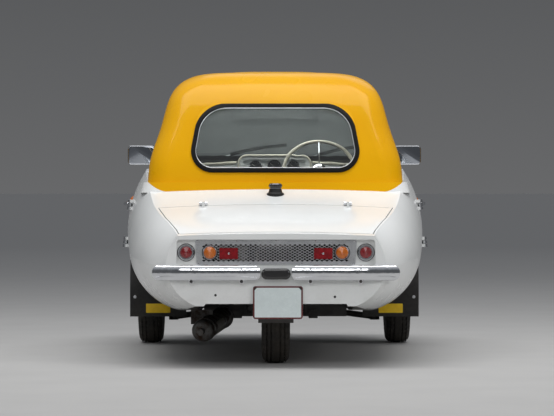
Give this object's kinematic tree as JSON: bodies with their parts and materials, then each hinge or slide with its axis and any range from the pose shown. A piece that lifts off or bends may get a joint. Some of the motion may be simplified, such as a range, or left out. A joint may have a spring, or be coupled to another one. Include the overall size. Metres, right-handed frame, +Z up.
{
  "type": "three wheeled microcar",
  "caption": "Small two door three wheeled coupe with a glass fibre body, a pair of steered wheels in front, a driven rear wheel and an engine under a tail lid.",
  "frame": {"origin": "on the ground at the middle of the car's length and width", "axes": "+Y is forwards, +X is the car's right hand side, +Z is up"},
  "size_m": [1.4466, 2.9, 1.306],
  "materials": {
    "white_paint": "gloss painted glass fibre",
    "yellow_paint": "gloss painted glass fibre",
    "black_rubber": "matt",
    "tyre": "matt",
    "glass": "clear",
    "aluminium": "satin",
    "chrome": "polished",
    "black_steel": "satin",
    "wheel_rim": "gloss",
    "upholstery": "grained vinyl",
    "cast_metal": "sand cast",
    "exhaust_steel": "heat stained",
    "red_lens": "moulded lens",
    "amber_lens": "moulded lens",
    "clear_lens": "fluted",
    "plate": "gloss",
    "dark_trim": "satin",
    "rim_paint": "satin"
  },
  "bodies": {
    "body": {"body_rear": "white_paint", "body_front": "white_paint", "front_bulkhead": "white_paint", "floor_tub": "white_paint", "roof": "yellow_paint", "window_seals": "black_rubber", "fixed_glass": "glass", "chassis_frame": "black_steel", "swing_arm": "black_steel", "rear_mudguard": "black_steel", "front_suspension": "black_steel", "steering_column": "black_steel", "dashboard": "white_paint", "seats": "upholstery", "seat_base": "white_paint", "engine": "cast_metal", "exhaust": "exhaust_steel", "fuel_filler": "black_rubber", "rear_grille": "aluminium", "front_grille": "aluminium", "lamp_rims": "chrome", "tail_lamps": "red_lens", "indicator_lamps": "amber_lens", "headlamp_rims": "chrome", "headlamp_lenses": "clear_lens", "bumpers": "chrome", "number_plate": "plate", "plate_lamp": "dark_trim", "mirrors": "chrome", "mudflaps": "black_rubber"},
    "lid": {"engine_lid": "white_paint"},
    "right_door": {"door_right": "white_paint", "door_frame_right": "aluminium", "door_glass_right": "glass", "door_handle_right": "chrome"},
    "left_door": {"door_left": "white_paint", "door_frame_left": "aluminium", "door_glass_left": "glass", "door_handle_left": "chrome"},
    "hand_wheel": {"steering_wheel": "wheel_rim"},
    "right_knuckle": {"knuckle_right": "black_steel"},
    "left_knuckle": {"knuckle_left": "black_steel"},
    "steering_rod": {"track_rod": "black_steel"},
    "right_wheel": {"tyre_right": "tyre", "rim_right": "rim_paint"},
    "left_wheel": {"tyre_left": "tyre", "rim_left": "rim_paint"},
    "rear_wheel": {"tyre_rear": "tyre", "rim_rear": "rim_paint"}
  },
  "joints": [
    {"name": "steer_left", "type": "hinge", "parent": "body", "child": "left_knuckle", "pos_m": [-0.5, 0.78, 0.24], "axis": [0, 0, 1], "range_deg": [-25, 25]},
    {"name": "steer_right", "type": "hinge", "parent": "body", "child": "right_knuckle", "pos_m": [0.5, 0.78, 0.24], "axis": [0, 0, 1], "range_deg": [-25, 25]},
    {"name": "steering_wheel_turn", "type": "hinge", "parent": "body", "child": "hand_wheel", "pos_m": [0.213, 0.13, 0.848], "axis": [0, -0.8189, 0.5739], "range_deg": [-350, 350]},
    {"name": "track_rod_slide", "type": "slide", "parent": "body", "child": "steering_rod", "axis": [1, 0, 0], "range_m": [-0.0437, 0.0437]},
    {"name": "door_right_hinge", "type": "hinge", "parent": "body", "child": "right_door", "pos_m": [0.67629, -0.435, 0.605], "axis": [0.1161, 0, -0.9932], "range_deg": [0, 60]},
    {"name": "door_left_hinge", "type": "hinge", "parent": "body", "child": "left_door", "pos_m": [-0.67629, -0.435, 0.605], "axis": [0.1161, 0, 0.9932], "range_deg": [0, 60]},
    {"name": "engine_lid_hinge", "type": "hinge", "parent": "body", "child": "lid", "pos_m": [0, -0.9725, 0.69813], "axis": [-1, 0, 0], "range_deg": [0, 55]},
    {"name": "wheel_right_spin", "type": "hinge", "parent": "right_knuckle", "child": "right_wheel", "pos_m": [0.61, 0.78, 0.24], "axis": [-1, 0, 0], "continuous": true},
    {"name": "wheel_left_spin", "type": "hinge", "parent": "left_knuckle", "child": "left_wheel", "pos_m": [-0.61, 0.78, 0.24], "axis": [-1, 0, 0], "continuous": true},
    {"name": "wheel_rear_spin", "type": "hinge", "parent": "body", "child": "rear_wheel", "pos_m": [0, -1.02, 0.24], "axis": [-1, 0, 0], "continuous": true}
  ],
  "couplings": [
    {"joint": "steer_right", "follows": "steer_left", "ratio": 1},
    {"joint": "steering_wheel_turn", "follows": "steer_left", "ratio": 14},
    {"joint": "track_rod_slide", "follows": "steer_left", "m_per_rad": 0.1}
  ]
}
